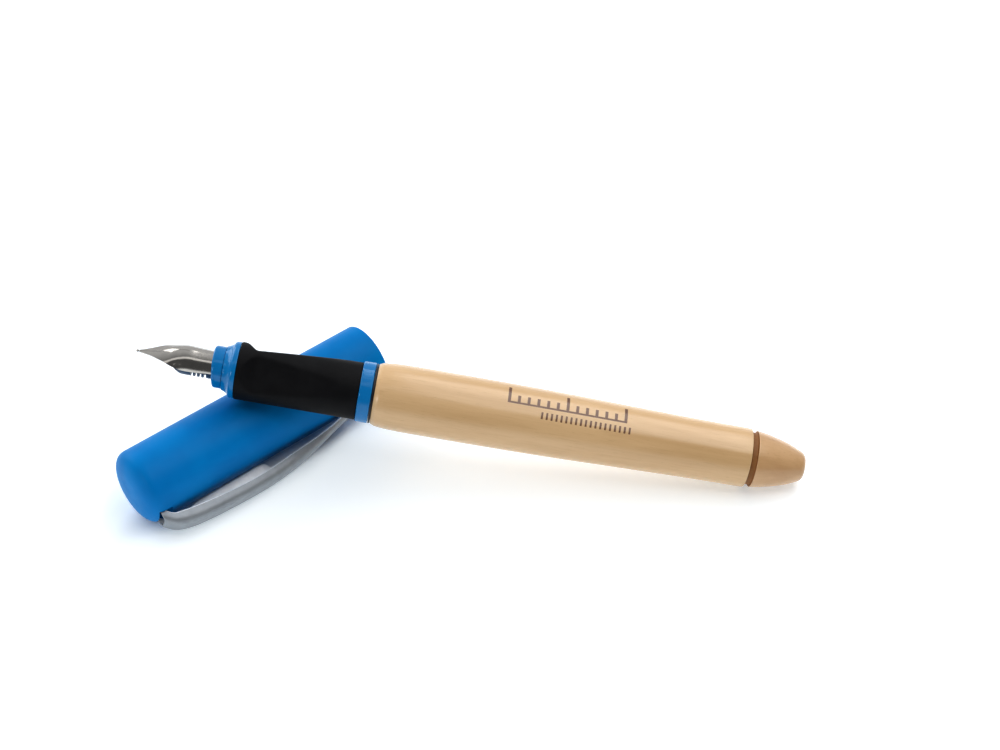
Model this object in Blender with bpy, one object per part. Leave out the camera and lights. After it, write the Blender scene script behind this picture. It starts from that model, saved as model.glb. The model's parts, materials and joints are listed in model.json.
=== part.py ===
"""A school fountain pen laid across its own pulled-off cap, as separate named pieces.

The pen is drawn along its own axis (local +X runs from the tail to the nib, local +Z is the top of
the nib) and the cap along its own (local +X runs from the closed end to the mouth, local +Z is the
side that carries the clip). Two empties place those axes. Lengths are in millimetres up to MM.
"""
import math

import bmesh
import bpy
from mathutils import Euler, Vector

MM = 0.001

# How the two halves lie: the tail rests on the ground, the grip rests over the cap.
PEN_YAW = 175.1
PEN_PITCH = 9.014
PEN_TAIL = (62.5, -31.2, 4.17)
CAP_YAW = 40.24
CLIP_BELOW_LEVEL = 26.0
CAP_CLOSED_END = (-73.6, -41.0, 8.0)

# Facets round a turned surface
OUTER_SEGMENTS = 32
GRIP_SEGMENTS = 36
INNER_SEGMENTS = 24

GAP = 0.1

# Pen, measured from the tail
PLUG_LENGTH = 11.8
BORE_R = 4.1
BARREL_END = 89.5
BUSH_START = 79.3
BUSH_SEAT_R = 5.45
COLLAR_START = 90.05
COLLAR_END = 92.6
COLLAR_R = 6.25
GRIP_START = COLLAR_END + GAP
GRIP_END = 117.5
GRIP_R = 5.9
FINGER_FLAT_START = 96.0
FINGER_FLAT_DEEPEST = 113.8
FINGER_FLAT_END = 117.0
FINGER_FLAT_DEPTH = 1.35
FINGER_FLAT_ANGLE = 48.0
FLANGE_R = 5.8
RING_START = 120.4
RING_END = 122.75
RING_R = 4.3
NIB_END = 137.75
NIB_THICKNESS = 0.25
TIPPING_R = 0.3
TIPPING_HEIGHT = 0.7

# Screw joint between barrel and section: a rounded thread
THREAD_PITCH = 1.5
THREAD_DEPTH = 0.4
THREAD_ROOT_R = 4.15
THREAD_CLEARANCE = 0.15
THREAD_ROWS_PER_TURN = 6
MALE_THREAD = (81.0, 87.0)
FEMALE_THREAD = (80.75, 87.5)
THREAD_RELIEF_R = 4.75

# Ink cartridge
CARTRIDGE_START = 27.0
CARTRIDGE_R = 3.6
CARTRIDGE_WALL = 0.6
BALL_R = 1.0

# Cap, measured from its closed end
CAP_LENGTH = 59.0
CAP_R = 8.0
CAP_MOUTH_R = 7.85
CAP_INNER_R = 6.6
CAP_END_BULGE = 1.1
CAP_END_FLAT_R = 3.0
CAP_FLOOR = 1.6
INNER_CAP_R = 6.45
NOTCH = (1.0, 3.9, 2.85)
CLIP_WALL = 0.5
CLIP_BEND = 1.7


def clear_scene():
    for obj in list(bpy.data.objects):
        bpy.data.objects.remove(obj, do_unlink=True)


def material(name, colour, roughness, metallic=0.0):
    made = bpy.data.materials.new(name)
    made.use_nodes = True
    shader = made.node_tree.nodes["Principled BSDF"]
    shader.inputs["Base Color"].default_value = (*colour, 1.0)
    shader.inputs["Roughness"].default_value = roughness
    shader.inputs["Metallic"].default_value = metallic
    return made


def axis_empty(name, place, roll, pitch, yaw):
    """An empty whose local X is the axis: nose up by pitch, then turned by yaw."""
    empty = bpy.data.objects.new(name, None)
    bpy.context.collection.objects.link(empty)
    empty.location = Vector(place) * MM
    empty.rotation_euler = Euler((math.radians(roll), math.radians(-pitch), math.radians(yaw)))
    return empty


def mesh_object(name, points, faces, made_of, parent, origin=(0.0, 0.0, 0.0)):
    """An object from points in mm under an axis empty, with its origin at a point of that axis."""
    shift = Vector(origin)
    mesh = bpy.data.meshes.new(name)
    mesh.from_pydata([Vector(p) - shift for p in points], [], faces)
    work = bmesh.new()
    work.from_mesh(mesh)
    bmesh.ops.triangulate(work, faces=work.faces)
    bmesh.ops.recalc_face_normals(work, faces=work.faces)
    bmesh.ops.scale(work, vec=(MM, MM, MM), verts=work.verts)
    work.to_mesh(mesh)
    work.free()
    mesh.shade_smooth()
    mesh.set_sharp_from_angle(angle=math.radians(35))
    mesh.materials.append(made_of)
    obj = bpy.data.objects.new(name, mesh)
    bpy.context.collection.objects.link(obj)
    obj.parent = parent
    obj.location = shift * MM
    return obj


def around(s, r, theta):
    """A point at distance r from the axis, theta counted right-handed about +X from the top."""
    return (s, -r * math.sin(theta), r * math.cos(theta))


def turned(name, stations, segments, made_of, parent):
    """Turn stations (s, r) about the axis. r is a number or a function of (theta, s).

    Stations that begin and end with r = 0 make a solid end; any others close into a ring.
    """
    points = []
    rings = []
    for s, r in stations:
        if r == 0:
            rings.append([len(points)])
            points.append((s, 0.0, 0.0))
            continue
        rings.append(list(range(len(points), len(points) + segments)))
        for step in range(segments):
            theta = math.tau * step / segments
            points.append(around(s, r(theta, s) if callable(r) else r, theta))
    is_ring = len(rings[0]) > 1
    pairs = list(zip(rings, rings[1:] + rings[:1] if is_ring else rings[1:]))
    faces = []
    for first, second in pairs:
        for step in range(segments):
            after = (step + 1) % segments
            if len(first) == 1:
                faces.append((first[0], second[step], second[after]))
            elif len(second) == 1:
                faces.append((first[step], first[after], second[0]))
            else:
                faces.append((first[step], first[after], second[after], second[step]))
    return mesh_object(name, points, faces, made_of, parent)


def lofted(name, sections, made_of, parent, origin=(0.0, 0.0, 0.0)):
    """Skin equal-length closed sections of points, with flat ends."""
    count = len(sections[0])
    points = [p for section in sections for p in section]
    faces = [tuple(range(count)), tuple(range(len(points) - count, len(points)))]
    for row in range(len(sections) - 1):
        for step in range(count):
            after = (step + 1) % count
            low = row * count
            high = low + count
            faces.append((low + step, low + after, high + after, high + step))
    return mesh_object(name, points, faces, made_of, parent, origin)


def smooth_step(value, start, end):
    t = min(max((value - start) / (end - start), 0.0), 1.0)
    return t * t * (3.0 - 2.0 * t)


def thread_rows(span, root_r, fade):
    """Stations of a right-hand rounded thread over a span; fade = turns to run out at each end."""
    first, last = span
    count = round((last - first) / THREAD_PITCH * THREAD_ROWS_PER_TURN)

    def radius(theta, s):
        depth = THREAD_DEPTH
        if fade:
            run_out = fade * THREAD_PITCH
            depth *= smooth_step(s, first, first + run_out) * smooth_step(-s, -last, run_out - last)
        wave = 0.5 + 0.5 * math.cos(math.tau * s / THREAD_PITCH - theta)
        return root_r + depth * wave

    return [(first + (last - first) * row / count, radius) for row in range(count + 1)]


def grip_radius(theta, s):
    """Round grip with two flats for thumb and forefinger, deepest just behind the front lip."""
    ramp = min(max((s - FINGER_FLAT_START) / (FINGER_FLAT_DEEPEST - FINGER_FLAT_START), 0.0), 1.0)
    lip = 1.0 - smooth_step(s, FINGER_FLAT_DEEPEST, FINGER_FLAT_END)
    flat = GRIP_R - FINGER_FLAT_DEPTH * ramp * lip
    radius = GRIP_R
    for side in (-1, 1):
        facing = math.cos(theta - side * math.radians(FINGER_FLAT_ANGLE))
        if facing > 0.1:
            radius = min(radius, flat / facing)
    return radius


def make_end_plug(pen, wood):
    """Turned wooden tail: a blunt cone, the burnt groove, and a spigot in the barrel."""
    nose = [(-0.2, 0), (-0.1, 1.6), (0.45, 2.8), (2.1, 3.65), (4.3, 4.5)]
    cone = [(6.9, 5.2), (8.8, 5.6), (10.55, 5.85)]
    groove = [(10.7, 5.4), (PLUG_LENGTH, 5.4)]
    spigot = [(PLUG_LENGTH, BORE_R - GAP), (20.0, BORE_R - GAP), (20.0, 0)]
    turned("barrel_end_plug", nose + cone + groove + spigot, OUTER_SEGMENTS, wood, pen)


def make_barrel(pen, wood):
    """Wooden tube, fullest ahead of the middle, counterbored for the threaded bush."""
    rear = PLUG_LENGTH + GAP
    swell = [(rear, 5.95), (rear + 0.1, 6.05), (13.5, 6.12), (22.0, 6.16), (37.0, 6.44), (50.0, 6.71)]
    shoulder = [(62.0, 6.85), (75.0, 6.88), (83.0, 6.86), (87.0, 6.72), (88.6, 6.5), (89.3, 6.25)]
    seat = [(BARREL_END, 6.05), (BARREL_END, BUSH_SEAT_R), (BUSH_START - 0.3, BUSH_SEAT_R)]
    bore = [(BUSH_START - 0.3, BORE_R), (rear, BORE_R)]
    turned("barrel", swell + shoulder + seat + bore, OUTER_SEGMENTS, wood, pen)


def make_bush(pen, plastic):
    """Black threaded bush, seen only as the thin flange ahead of the wood."""
    outer_r = BUSH_SEAT_R - GAP
    flange_start = BARREL_END + GAP
    flange_end = COLLAR_START - GAP
    outside = [(BUSH_START, outer_r), (flange_start, outer_r), (flange_start, 6.15), (flange_end, 6.15)]
    front = [(flange_end, THREAD_RELIEF_R), (FEMALE_THREAD[1] + 0.3, THREAD_RELIEF_R)]
    thread = thread_rows(FEMALE_THREAD, THREAD_ROOT_R + THREAD_CLEARANCE, 0)[::-1]
    rear = [(FEMALE_THREAD[0] - 0.3, THREAD_RELIEF_R), (BUSH_START, THREAD_RELIEF_R)]
    turned("barrel_bush", outside + front + thread + rear, INNER_SEGMENTS, plastic, pen)


def make_collar(pen, plastic):
    """Blue trim ring, pinched between the bush and the grip."""
    edge_r = COLLAR_R - 0.15
    bevel = 0.25
    rear = [(COLLAR_START, edge_r), (COLLAR_START + bevel, COLLAR_R)]
    front = [(COLLAR_END - bevel, COLLAR_R), (COLLAR_END, edge_r)]
    bore = [(COLLAR_END, THREAD_RELIEF_R), (COLLAR_START, THREAD_RELIEF_R)]
    turned("trim_collar", rear + front + bore, OUTER_SEGMENTS, plastic, pen)


def make_section_core(pen, plastic):
    """Tube that carries the grip: threaded spigot, neck, and the stepped flange at the front."""
    neck_r = 4.5
    tube_r = 4.1
    spigot = [(80.0, 4.0), (80.5, THREAD_ROOT_R)]
    thread = thread_rows(MALE_THREAD, THREAD_ROOT_R, 0.5)
    rear = GRIP_END + GAP
    neck = [(87.6, THREAD_ROOT_R), (88.0, neck_r), (100.4, neck_r), (100.8, tube_r), (rear, tube_r)]
    flange = [(rear, FLANGE_R - 0.1), (117.8, FLANGE_R), (118.5, FLANGE_R), (118.75, FLANGE_R - 0.2)]
    fillet = [(119.05, 5.2), (119.6, 4.8), (120.3, 4.5)]
    inside = [(120.3, 4.0), (117.0, 4.0), (117.0, 3.2), (100.8, 3.2), (100.3, 3.75), (80.0, 3.75)]
    outline = spigot + thread + neck + flange + fillet + inside
    turned("section_core", outline, INNER_SEGMENTS, plastic, pen)


def make_grip_sleeve(pen, rubber):
    """Black rubber sleeve with the two finger flats."""
    rear = [(GRIP_START, GRIP_R - 0.1), (GRIP_START + 0.3, grip_radius)]
    long_cuts = (FINGER_FLAT_START, 100.0, 104.0, 108.0, 111.0, FINGER_FLAT_DEEPEST)
    lip_cuts = (114.6, 115.4, 116.2, FINGER_FLAT_END)
    flats = [(s, grip_radius) for s in long_cuts + lip_cuts]
    front = [(117.3, GRIP_R), (GRIP_END, GRIP_R - 0.15)]
    inside = [(GRIP_END, 4.2), (100.9, 4.2), (100.5, 4.6), (GRIP_START, 4.6)]
    turned("grip_sleeve", rear + flats + front + inside, GRIP_SEGMENTS, rubber, pen)


def make_nib_housing(pen, plastic):
    """Push-in holder of nib and feed: front ring, body, and the tube that pierces the cartridge."""
    tube = [(99.5, 0.5), (99.5, 0.8), (100.2, 1.1), (108.0, 1.1)]
    body = [(108.0, 3.1), (117.15, 3.1), (117.15, 3.9), (RING_START, 3.9)]
    ring = [(RING_START, RING_R - 0.1), (RING_START + 0.2, RING_R), (RING_END - 0.7, RING_R)]
    mouth = [(RING_END - 0.2, 4.1), (RING_END, 3.75), (RING_END, 3.4), (117.5, 3.4)]
    inside = [(117.5, 2.0), (108.8, 2.0), (108.8, 0.5)]
    turned("nib_housing", tube + body + ring + mouth + inside, INNER_SEGMENTS, plastic, pen)


def feed_section(s, radius, floor_z):
    """Round section cut flat below floor_z."""
    steps = 18
    start = math.asin(floor_z / radius)
    angles = [start + (math.pi - 2.0 * start) * step / steps for step in range(steps + 1)]
    return [(s, radius * math.cos(a), radius * math.sin(a)) for a in angles]


def make_feed(pen, plastic):
    """Ink feed under the nib: tail rod, full body, and an underside that rises to the nib."""
    stations = [(109.2, 1.85, -1.82), (117.6, 1.85, -1.82), (117.8, 2.7, -2.5), (127.8, 2.7, -2.5)]
    stations += [(128.7, 2.65, -1.9), (129.6, 2.5, -0.8), (130.5, 2.3, 0.2), (131.2, 2.0, 0.9)]
    lofted("feed", [feed_section(*station) for station in stations], plastic, pen)


def nib_section(s, top, radius, half_width):
    """Curved strip: the outer arc from edge to edge, then the inner arc back."""
    steps = 12
    spread = math.asin(half_width / radius)
    angles = [spread * (2.0 * step / steps - 1.0) for step in range(steps + 1)]
    outer = [(s, radius * math.sin(a), top - radius + radius * math.cos(a)) for a in angles]
    bent = radius - NIB_THICKNESS
    inner = [(s, bent * math.sin(a), top - radius + bent * math.cos(a)) for a in reversed(angles)]
    return outer + inner


def make_nib(pen, steel):
    """Sheet steel nib: rolled shank, wider body, shoulders, and tines that fall to the point."""
    shank = [(117.8, 3.05, 3.25, 3.1), (123.1, 3.05, 3.25, 3.12), (125.5, 3.15, 3.4, 3.29)]
    body = [(128.0, 3.3, 3.5, 3.4), (129.5, 3.22, 3.5, 3.33), (130.7, 2.99, 3.5, 3.13)]
    shoulders = [(131.7, 2.66, 3.55, 2.83), (132.8, 2.16, 3.5, 2.28)]
    tines = [(135.2, 1.32, 3.4, 1.13), (136.6, 1.0, 3.0, 0.6), (NIB_END, 0.8, 2.0, 0.25)]
    lofted("nib", [nib_section(*station) for station in shank + body + shoulders + tines], steel, pen)


def ball_stations(centre, radius, steps=8):
    angles = [math.pi * step / steps for step in range(steps + 1)]
    middle = [(centre - radius * math.cos(a), radius * math.sin(a)) for a in angles[1:-1]]
    return [(centre - radius, 0)] + middle + [(centre + radius, 0)]


def make_tipping(pen, steel):
    """Hard writing pellet ahead of the tines."""
    pellet = turned("nib_tipping", ball_stations(0.0, TIPPING_R), 12, steel, pen)
    pellet.location = Vector((NIB_END + TIPPING_R + 0.05, 0.0, TIPPING_HEIGHT)) * MM


def make_cartridge(pen, plastic):
    """Long ink cartridge, open at the pierced nozzle."""
    start = CARTRIDGE_START
    outside = [(start, 0), (start, 3.0), (start + 0.6, CARTRIDGE_R), (98.8, CARTRIDGE_R)]
    nozzle = [(100.0, 2.2), (103.5, 2.2), (103.5, 1.35), (99.9, 1.35)]
    inner_r = CARTRIDGE_R - CARTRIDGE_WALL
    inside = [(98.6, inner_r), (start + 1.0, inner_r), (start + 1.0, 0)]
    turned("ink_cartridge", outside + nozzle + inside, INNER_SEGMENTS, plastic, pen)


def make_cartridge_ball(pen, steel):
    """Sealing ball that floats in the opened cartridge, lying at its low end."""
    ball = turned("cartridge_ball", ball_stations(0.0, BALL_R), 12, steel, pen)
    drop = CARTRIDGE_R - CARTRIDGE_WALL - BALL_R - 0.15
    ball.location = Vector((CARTRIDGE_START + 2.3, 0.0, -drop)) * MM


def closed_end():
    """The cap's closed end, from the flat at its middle out to the side, as a squarish dome."""
    fullness = 2.6
    depth = 3.6
    dome = []
    for share in (0.55, 0.71, 0.84, 0.935, 0.985, 1.0):
        fall = 1.0 - (1.0 - share**fullness) ** (1.0 / fullness)
        dome.append((depth * fall - CAP_END_BULGE, CAP_R * share))
    return [(-CAP_END_BULGE, 0), (-CAP_END_BULGE, CAP_END_FLAT_R)] + dome


def make_cap_shell(cap, plastic):
    """Blue cap, moulded in one with its closed end, with the notch that the clip springs from."""
    lip = [(CAP_LENGTH - 0.4, CAP_MOUTH_R), (CAP_LENGTH - 0.1, CAP_MOUTH_R - 0.15)]
    lip += [(CAP_LENGTH, CAP_MOUTH_R - 0.4), (CAP_LENGTH, 7.15), (CAP_LENGTH - 0.4, 6.95)]
    bore = [(45.0, 6.9), (31.0, CAP_INNER_R)]
    floor = [(CAP_FLOOR, CAP_INNER_R), (CAP_FLOOR, 0)]
    shell = turned("cap_shell", closed_end() + lip + bore + floor, OUTER_SEGMENTS, plastic, cap)
    start, end, half_width = NOTCH
    corners = [(x, y, z) for x in (start, end) for y in (-half_width, half_width) for z in (6.0, 9.5)]
    sides = [(0, 1, 3, 2), (4, 6, 7, 5), (0, 4, 5, 1), (2, 3, 7, 6), (0, 2, 6, 4), (1, 5, 7, 3)]
    cutter = mesh_object("notch_cutter", corners, sides, plastic, cap)
    cutter.hide_render = True
    cutter.display_type = "WIRE"
    cut = shell.modifiers.new("clip_notch", "BOOLEAN")
    cut.operation = "DIFFERENCE"
    cut.solver = "EXACT"
    cut.object = cutter


def make_inner_cap(cap, plastic):
    """Cup that seals round the nib when the pen is capped."""
    outside = [(4.2, 0), (4.2, 6.0), (4.7, INNER_CAP_R), (29.8, INNER_CAP_R), (30.2, 6.2)]
    inside = [(30.2, 5.2), (28.0, 5.0), (5.4, 5.0), (5.4, 0)]
    turned("inner_cap", outside + inside, INNER_SEGMENTS, plastic, cap)


def clip_section(s, inner, outer, half_width):
    """Channel section, open towards the cap, with widely rolled outer edges."""
    bend = min(CLIP_BEND, (outer - inner) * 0.7, half_width * 0.8)
    turns = [math.radians(angle) for angle in (0, 30, 60, 90)]

    def half(inset):
        """From the lip out to the crown, on the +Y side."""
        r = max(bend - inset, 0.1)
        y = half_width - inset - r
        z = outer - inset - r
        arc = [(y + r * math.cos(a), z + r * math.sin(a)) for a in turns]
        return [(half_width - inset, inner)] + arc

    outline = half(0.0)
    channel = half(CLIP_WALL)
    outline += [(-y, z) for y, z in reversed(outline)]
    channel += [(-y, z) for y, z in reversed(channel)]
    return [(s, y, z) for y, z in outline + channel[::-1]]


def make_clip(cap, steel):
    """Bowed sprung clip: its root sits in the notch, its tip comes back close to the cap."""
    root = [(1.3, 6.9, 9.4, 2.55), (2.2, 6.9, 10.4, 2.6), (3.4, 6.9, 11.3, 2.6), (3.7, 8.6, 11.5, 2.6)]
    bow = [(6.0, 9.2, 12.2, 2.6), (10.4, 9.85, 12.8, 2.6), (15.0, 10.3, 13.1, 2.6)]
    bow += [(20.0, 10.65, 13.3, 2.55), (25.0, 10.6, 13.3, 2.5), (30.0, 10.25, 12.95, 2.4)]
    tip = [(35.0, 9.9, 12.15, 2.25), (40.0, 9.4, 10.95, 2.05), (44.2, 8.7, 9.85, 1.8)]
    tip += [(47.0, 8.25, 9.35, 1.55), (48.2, 8.25, 9.05, 1.3)]
    pivot = (2.6, 0.0, 8.0)
    lofted("pocket_clip", [clip_section(*station) for station in root + bow + tip], steel, cap, pivot)


def world_box():
    """Lowest and highest corners of every mesh that belongs to the part."""
    bpy.context.view_layer.update()
    shown = [o for o in bpy.data.objects if o.type == "MESH" and not o.hide_render]
    spots = [o.matrix_world @ v.co for o in shown for v in o.data.vertices]
    low = Vector([min(p[i] for p in spots) for i in range(3)])
    high = Vector([max(p[i] for p in spots) for i in range(3)])
    return low, high


def stand_on_origin(empties):
    """Put the middle of the footprint at the origin and the lowest point at z = 0."""
    low, high = world_box()
    middle = (low + high) / 2.0
    for empty in empties:
        empty.location -= Vector((middle.x, middle.y, low.z))
    bpy.context.view_layer.update()


def main():
    clear_scene()
    pen = axis_empty("pen_axis", PEN_TAIL, 0.0, PEN_PITCH, PEN_YAW)
    cap_slope = math.degrees(math.atan((CAP_MOUTH_R - CAP_R) / CAP_LENGTH))
    cap = axis_empty("cap_axis", CAP_CLOSED_END, 90.0 + CLIP_BELOW_LEVEL, cap_slope, CAP_YAW)

    wood = material("lacquered_maple", (0.63, 0.41, 0.24), 0.35)
    tail_wood = material("lacquered_maple_tail", (0.55, 0.34, 0.19), 0.38)
    blue = material("blue_plastic", (0.0, 0.18, 0.56), 0.25)
    black = material("black_plastic", (0.02, 0.02, 0.022), 0.4)
    rubber = material("black_rubber", (0.012, 0.012, 0.014), 0.65)
    steel = material("polished_steel", (0.62, 0.60, 0.57), 0.22, 1.0)
    spring_steel = material("satin_steel", (0.45, 0.47, 0.49), 0.35, 1.0)
    ink_blue = material("ink_blue_plastic", (0.02, 0.06, 0.30), 0.2)
    grey = material("feed_grey", (0.12, 0.14, 0.17), 0.4)

    make_end_plug(pen, tail_wood)
    make_barrel(pen, wood)
    make_bush(pen, black)
    make_collar(pen, blue)
    make_section_core(pen, blue)
    make_grip_sleeve(pen, rubber)
    make_nib_housing(pen, blue)
    make_feed(pen, grey)
    make_nib(pen, steel)
    make_tipping(pen, steel)
    make_cartridge(pen, ink_blue)
    make_cartridge_ball(pen, steel)
    make_cap_shell(cap, blue)
    make_inner_cap(cap, black)
    make_clip(cap, spring_steel)
    stand_on_origin((pen, cap))


main()
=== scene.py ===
"""Looks for the fountain pen and its cap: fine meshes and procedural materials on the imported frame.

Lengths are in millimetres up to MM. Pen pieces are drawn along the pen's axis (s runs from the tail
to the nib, up is the top of the nib), cap pieces along the cap's axis (s runs from the closed end
to the mouth, up is the side with the clip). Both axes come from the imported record.
"""

import json
import math

import bmesh
import bpy
from mathutils import Matrix, Vector


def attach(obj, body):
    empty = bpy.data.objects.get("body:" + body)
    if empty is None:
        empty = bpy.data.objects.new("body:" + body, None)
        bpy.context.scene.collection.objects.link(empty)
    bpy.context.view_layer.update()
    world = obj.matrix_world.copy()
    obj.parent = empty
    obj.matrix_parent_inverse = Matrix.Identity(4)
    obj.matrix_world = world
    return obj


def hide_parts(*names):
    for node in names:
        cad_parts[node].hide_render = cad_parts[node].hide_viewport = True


MM = 0.001

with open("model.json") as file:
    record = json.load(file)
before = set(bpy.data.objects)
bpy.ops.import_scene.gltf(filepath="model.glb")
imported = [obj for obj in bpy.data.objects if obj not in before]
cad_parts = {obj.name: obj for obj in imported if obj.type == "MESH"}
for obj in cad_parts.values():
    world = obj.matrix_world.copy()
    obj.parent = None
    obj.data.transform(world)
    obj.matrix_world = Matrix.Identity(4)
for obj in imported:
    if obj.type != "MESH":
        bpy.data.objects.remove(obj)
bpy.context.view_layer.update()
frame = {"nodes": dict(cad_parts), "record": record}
record = frame["record"]
joints = {joint["name"]: joint for joint in record["behaviour"]["joints"]}

# Pen, measured from the tail, as the frame has it
SPIGOT_R = 4.0
SPIGOT_END = 20.0
GROOVE_START = 10.6
GROOVE_R = 5.4
PLUG_END = 11.8
BORE_R = 4.1
BARREL_END = 89.5
BUSH_START = 79.3
BUSH_END = 89.95
BUSH_SEAT_R = 5.45
BUSH_LIP_R = 6.15
COLLAR_START = 90.05
COLLAR_END = 92.6
COLLAR_R = 6.25
GRIP_START = 92.7
GRIP_END = 117.5
GRIP_R = 5.9
FINGER_FLAT_START = 95.0
FINGER_FLAT_DEEPEST = 113.8
FINGER_FLAT_DEPTH = 1.4
FINGER_FLAT_ANGLE = 48.0
FLANGE_R = 5.8
RING_START = 120.4
RING_END = 122.75
RING_R = 4.3
NIB_END = 137.75
NIB_THICKNESS = 0.25
TIPPING_R = 0.3
TIPPING_HEIGHT = 0.7
GAP = 0.1

# Rounded thread between barrel and section
THREAD_PITCH = 1.5
THREAD_DEPTH = 0.4
MALE_THREAD_ROOT_R = 4.15
FEMALE_THREAD_ROOT_R = 4.3
THREAD_RELIEF_R = 4.75
THREAD_ROWS_PER_TURN = 14

# Cap, measured from its closed end
CAP_LENGTH = 59.0
CAP_R = 8.0
CAP_INNER_R = 6.6
CAP_END_BULGE = 1.1
CAP_FLOOR = 1.6
INNER_CAP_R = 6.45
NOTCH_START = 1.0
NOTCH_END = 3.9
NOTCH_HALF_WIDTH = 2.85
CLIP_WALL = 0.5
CLIP_BEND = 1.7
CLIP_END = 48.2

# Heights over the cap's axis of the clip's two edges and its crown, and its half width
CLIP_UPPER_EDGE = [
    (1.3, 6.9), (1.9, 6.9), (2.5, 7.5), (3.5, 8.5), (5.3, 9.0), (7.6, 9.45), (10.4, 9.82), (13.9, 10.22),
    (17.4, 10.5), (20.0, 10.65), (23.0, 10.7), (25.5, 10.63), (28.2, 10.45), (31.0, 10.22), (34.0, 10.02),
    (38.0, 9.7), (42.5, 9.1), (45.5, 8.5), (CLIP_END, 8.2),
]
CLIP_LOWER_EDGE = [
    (1.3, 6.9), (1.9, 6.9), (2.5, 7.5), (3.5, 8.5), (5.3, 8.7), (7.6, 8.4), (10.4, 7.85), (13.9, 7.78),
    (17.4, 7.78), (20.0, 7.78), (23.0, 7.78), (25.5, 7.8), (26.4, 8.0), (26.95, 8.4), (27.3, 9.0),
    (27.55, 9.8), (28.0, 10.3), (29.0, 10.4), (31.0, 10.22), (34.0, 10.02), (38.0, 9.7), (42.5, 9.1),
    (45.5, 8.5), (CLIP_END, 8.2),
]
CLIP_CROWN = [
    (1.3, 9.4), (2.2, 10.4), (3.4, 11.3), (6.0, 12.2), (10.4, 12.8), (15.0, 13.1), (20.0, 13.3), (25.0, 13.3),
    (30.0, 12.95), (35.0, 12.15), (40.0, 10.95), (44.2, 9.85), (47.0, 9.3), (CLIP_END, 9.05),
]
CLIP_HALF_WIDTH = [
    (1.3, 2.55), (3.4, 2.6), (15.0, 2.6), (25.0, 2.5), (30.0, 2.4), (35.0, 2.25), (40.0, 2.05), (44.2, 1.8),
    (47.0, 1.55), (CLIP_END, 1.3),
]

# Facets round a turned surface
SEGMENTS = 96
GRIP_SEGMENTS = 144
CAP_SEGMENTS = 128
BUSH_SEGMENTS = 72
TIPPING_SEGMENTS = 32

# Room light: where it is brightest, and its strength on the camera's side, there and at the horizon
ROOM_BRIGHTEST = (0.0, 0.95, 0.31)
ROOM_DARK = 0.13
ROOM_BRIGHT = 0.8
ROOM_HORIZON = 0.45

# Lamps in metres: name, place, where it points, size, radiance
LAMPS = (
    ("overhead_softbox", (0.215, 0.175, 0.5), (0, 0, -1), (0.29, 0.85), 2.9),
    ("left_panel", (-0.9, 0.7, 0.45), (0.9, -0.7, -0.45), (1.0, 0.7), 2.5),
    ("front_strip", (-0.28, -0.13, 0.5), (0, 0, -1), (0.66, 0.12), 0.9),
    ("key", (-0.566, -0.583, 0.39), (0.588, 0.662, -0.451), (0.3, 0.25), 6.0),
)

# Camera, in metres
CAMERA_TARGET = (0.0074958, 0.0221241, 0.0)
CAMERA_OFFSET = (0.0, -0.29461, 0.29351)
CAMERA_LENS = 68.23


def axis_frame(x_axis, z_axis, origin):
    """Matrix whose first column is x_axis and whose third is nearest to z_axis."""
    x = Vector(x_axis).normalized()
    y = Vector(z_axis).cross(x).normalized()
    z = x.cross(y)
    made = Matrix((x, y, z)).transposed().to_4x4()
    made.translation = origin
    return made


def pen_frame():
    """Frame at the tail; the screw joint is placed at the front of the collar."""
    screw = joints["section_unscrew"]
    along = Vector(screw["axis"]).normalized()
    return axis_frame(along, (0, 0, 1), Vector(screw["pos_m"]) - along * COLLAR_END * MM)


def cap_frame():
    """Frame near the closed end, whose flat middle stands CAP_END_BULGE before it."""
    face = next(m for m in record["mounts"] if m["name"] == "cap_end_face")
    along = -Vector(face["axis"]).normalized()
    hinge = Vector(joints["clip_flex"]["axis"])
    return axis_frame(along, hinge.cross(along), Vector(face["pos_m"]) + along * CAP_END_BULGE * MM)


PEN = pen_frame()
CAP = cap_frame()


# ---------------------------------------------------------------- mesh tools

def piece(name, points, faces, place, body, made_of, nodes, sharp=35.0):
    """A closed mesh from points in mm in an axis frame, riding on a body in place of CAD nodes."""
    work = bmesh.new()
    spots = [work.verts.new(p) for p in points]
    for face in faces:
        work.faces.new([spots[i] for i in face])
    bmesh.ops.recalc_face_normals(work, faces=work.faces)
    mesh = bpy.data.meshes.new(name)
    work.to_mesh(mesh)
    work.free()
    mesh.transform(place @ Matrix.Scale(MM, 4))
    mesh.shade_smooth()
    mesh.set_sharp_from_angle(angle=math.radians(sharp))
    mesh.materials.append(made_of)
    obj = bpy.data.objects.new(name, mesh)
    bpy.context.collection.objects.link(obj)
    weighted = obj.modifiers.new("even_shading", "WEIGHTED_NORMAL")
    weighted.keep_sharp = True
    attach(obj, body)
    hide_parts(*nodes)
    return obj


def filleted(corners, steps=6):
    """Outline from (s, r, fillet radius) corners, each rounded by an arc of that radius."""
    outline = []
    last = len(corners) - 1
    for i, (s, r, fillet) in enumerate(corners):
        here = Vector((s, r))
        if fillet <= 0 or i in (0, last):
            outline.append((s, r))
            continue
        to_before = Vector(corners[i - 1][:2]) - here
        to_after = Vector(corners[i + 1][:2]) - here
        a, b = to_before.normalized(), to_after.normalized()
        half = a.angle(b) / 2.0
        reach = min(fillet / math.tan(half), 0.48 * to_before.length, 0.48 * to_after.length)
        radius = reach * math.tan(half)
        centre = here + (a + b).normalized() * radius / math.sin(half)
        start, end = here + a * reach - centre, here + b * reach - centre
        turn = start.angle_signed(end)
        for step in range(steps + 1):
            spot = centre + Matrix.Rotation(-turn * step / steps, 2) @ start
            outline.append((spot.x, spot.y))
    return outline


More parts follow.
